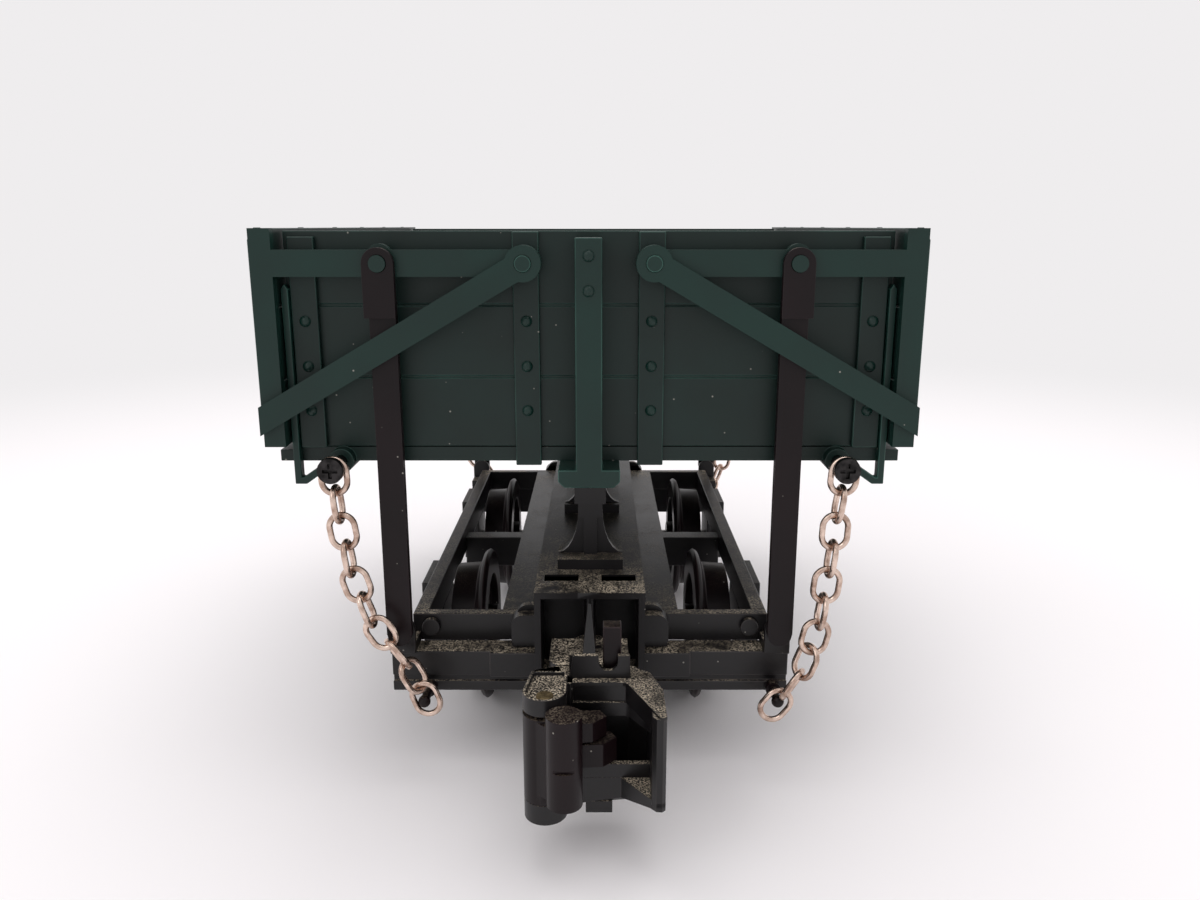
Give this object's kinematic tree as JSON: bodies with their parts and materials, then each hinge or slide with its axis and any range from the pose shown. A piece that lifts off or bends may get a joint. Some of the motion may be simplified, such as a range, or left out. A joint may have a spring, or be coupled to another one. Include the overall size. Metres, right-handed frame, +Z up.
{
  "type": "side-dump railway car model",
  "caption": "Large-scale model railway wagon whose boarded body tips to either side on a shaft while link bars lift the lower side door.",
  "frame": {"origin": "centre of the plane that the wheel flanges stand on", "axes": "+X right side, +Y along the track toward the rear end, +Z up"},
  "size_m": [0.106, 0.18, 0.0936],
  "materials": {
    "green_plastic": "satin moulded",
    "black_plastic": "satin moulded",
    "wheel_plastic": "satin moulded",
    "chain_steel": "bright",
    "bright_steel": "turned",
    "blacked_steel": "blacked"
  },
  "bodies": {
    "frame": {"centre_sill": "black_plastic", "left_side_rail": "black_plastic", "right_side_rail": "black_plastic", "front_end_beam": "black_plastic", "rear_end_beam": "black_plastic", "front_buffer_beam": "black_plastic", "rear_buffer_beam": "black_plastic", "cross_beam": "black_plastic", "journal_boxes": "black_plastic", "front_pedestal": "black_plastic", "centre_pedestal": "black_plastic", "rear_pedestal": "black_plastic", "link_seats": "black_plastic", "chain_hooks": "black_plastic", "frame_bolts": "black_plastic", "coupler_pins": "black_plastic"},
    "front_wheelset": {"front_axle": "bright_steel", "front_wheels": "wheel_plastic"},
    "rear_wheelset": {"rear_axle": "bright_steel", "rear_wheels": "wheel_plastic"},
    "front_coupler": {"front_coupler_head": "black_plastic", "front_knuckle_pin": "black_plastic"},
    "front_knuckle": {"front_knuckle": "black_plastic"},
    "front_lift_pin": {"front_lift_pin": "black_plastic"},
    "rear_coupler": {"rear_coupler_head": "black_plastic", "rear_knuckle_pin": "black_plastic"},
    "rear_knuckle": {"rear_knuckle": "black_plastic"},
    "rear_lift_pin": {"rear_lift_pin": "black_plastic"},
    "tipping_shaft": {"tipping_shaft": "bright_steel"},
    "dump_body": {"body_floor": "green_plastic", "shaft_hangers": "black_plastic", "front_end_wall": "green_plastic", "rear_end_wall": "green_plastic", "front_battens": "green_plastic", "rear_battens": "green_plastic", "front_centre_post": "green_plastic", "rear_centre_post": "green_plastic", "corner_straps": "green_plastic", "rivets": "green_plastic", "chain_screws": "blacked_steel", "arm_pivot_pins": "green_plastic"},
    "left_door": {"left_door": "green_plastic", "left_door_stakes": "green_plastic", "left_front_arm": "green_plastic", "left_rear_arm": "green_plastic"},
    "left_links": {"left_front_link": "black_plastic", "left_rear_link": "black_plastic"},
    "left_chain_top": {"left_chain_tops": "chain_steel"},
    "left_chain_upper": {"left_chain_uppers": "chain_steel"},
    "left_chain_lower": {"left_chain_lowers": "chain_steel"},
    "right_door": {"right_door": "green_plastic", "right_door_stakes": "green_plastic", "right_front_arm": "green_plastic", "right_rear_arm": "green_plastic"},
    "right_links": {"right_front_link": "black_plastic", "right_rear_link": "black_plastic"},
    "right_chain_top": {"right_chain_tops": "chain_steel"},
    "right_chain_upper": {"right_chain_uppers": "chain_steel"},
    "right_chain_lower": {"right_chain_lowers": "chain_steel"}
  },
  "joints": [
    {"name": "front_axle_spin", "type": "hinge", "parent": "frame", "child": "front_wheelset", "pos_m": [0, -0.02755, 0.015], "axis": [1, 0, 0], "continuous": true},
    {"name": "rear_axle_spin", "type": "hinge", "parent": "frame", "child": "rear_wheelset", "pos_m": [0, 0.02755, 0.015], "axis": [1, 0, 0], "continuous": true},
    {"name": "front_coupler_swing", "type": "hinge", "parent": "frame", "child": "front_coupler", "pos_m": [0, -0.052, 0.022], "axis": [0, 0, 1], "range_deg": [-12, 12]},
    {"name": "front_knuckle_open", "type": "hinge", "parent": "front_coupler", "child": "front_knuckle", "pos_m": [-0.0063, -0.0823, 0.02], "axis": [0, 0, -1], "range_deg": [0, 40]},
    {"name": "front_lift_pin_lift", "type": "slide", "parent": "front_coupler", "child": "front_lift_pin", "axis": [0, 0, 1], "range_m": [0, 0.0025]},
    {"name": "rear_coupler_swing", "type": "hinge", "parent": "frame", "child": "rear_coupler", "pos_m": [0, 0.052, 0.022], "axis": [0, 0, 1], "range_deg": [-12, 12]},
    {"name": "rear_knuckle_open", "type": "hinge", "parent": "rear_coupler", "child": "rear_knuckle", "pos_m": [0.0063, 0.0823, 0.02], "axis": [0, 0, -1], "range_deg": [0, 40]},
    {"name": "rear_lift_pin_lift", "type": "slide", "parent": "rear_coupler", "child": "rear_lift_pin", "axis": [0, 0, 1], "range_m": [0, 0.0025]},
    {"name": "tilt_left", "type": "hinge", "parent": "frame", "child": "tipping_shaft", "pos_m": [0, 0, 0.05], "axis": [0, -1, 0], "range_deg": [0, 32]},
    {"name": "tilt_right", "type": "hinge", "parent": "tipping_shaft", "child": "dump_body", "pos_m": [0, 0, 0.05], "axis": [0, 1, 0], "range_deg": [0, 32]},
    {"name": "left_door_open", "type": "hinge", "parent": "dump_body", "child": "left_door", "pos_m": [-0.0101, 0, 0.0881], "axis": [0, 1, 0], "range_deg": [0, 55.41]},
    {"name": "left_links_swing", "type": "hinge", "parent": "left_door", "child": "left_links", "pos_m": [-0.0323, 0, 0.0881], "axis": [0, -1, 0], "range_deg": [0, 39.16]},
    {"name": "left_chain_hang", "type": "hinge", "parent": "dump_body", "child": "left_chain_top", "pos_m": [-0.0408, 0, 0.0561], "axis": [0, -1, 0], "range_deg": [0, 13.93]},
    {"name": "left_chain_swing", "type": "hinge", "parent": "left_chain_top", "child": "left_chain_upper", "pos_m": [-0.04073, 0, 0.053], "axis": [0, 1, 0], "range_deg": [0, 54.89]},
    {"name": "left_chain_fold", "type": "hinge", "parent": "left_chain_upper", "child": "left_chain_lower", "pos_m": [-0.03576, 0, 0.02933], "axis": [0, -1, 0], "range_deg": [0, 115.31]},
    {"name": "right_door_open", "type": "hinge", "parent": "dump_body", "child": "right_door", "pos_m": [0.0101, 0, 0.0881], "axis": [0, -1, 0], "range_deg": [0, 55.41]},
    {"name": "right_links_swing", "type": "hinge", "parent": "right_door", "child": "right_links", "pos_m": [0.0323, 0, 0.0881], "axis": [0, 1, 0], "range_deg": [0, 39.16]},
    {"name": "right_chain_hang", "type": "hinge", "parent": "dump_body", "child": "right_chain_top", "pos_m": [0.0408, 0, 0.0561], "axis": [0, 1, 0], "range_deg": [0, 19.36]},
    {"name": "right_chain_swing", "type": "hinge", "parent": "right_chain_top", "child": "right_chain_upper", "pos_m": [0.04062, 0, 0.053], "axis": [0, -1, 0], "range_deg": [0, 62.3]},
    {"name": "right_chain_fold", "type": "hinge", "parent": "right_chain_upper", "child": "right_chain_lower", "pos_m": [0.03796, 0, 0.02887], "axis": [0, 1, 0], "range_deg": [0, 117.94]}
  ],
  "couplings": [
    {"joint": "left_door_open", "follows": "tilt_left", "ratio": 1.731},
    {"joint": "left_links_swing", "follows": "tilt_left", "ratio": 1.2232},
    {"joint": "left_chain_hang", "follows": "tilt_right", "ratio": 0.43455},
    {"joint": "left_chain_swing", "follows": "tilt_left", "ratio": 1.7147},
    {"joint": "left_chain_fold", "follows": "tilt_left", "ratio": 3.6028},
    {"joint": "right_door_open", "follows": "tilt_right", "ratio": 1.731},
    {"joint": "right_links_swing", "follows": "tilt_right", "ratio": 1.2232},
    {"joint": "right_chain_hang", "follows": "tilt_left", "ratio": 0.60449},
    {"joint": "right_chain_swing", "follows": "tilt_right", "ratio": 1.9463},
    {"joint": "right_chain_fold", "follows": "tilt_right", "ratio": 3.685}
  ]
}
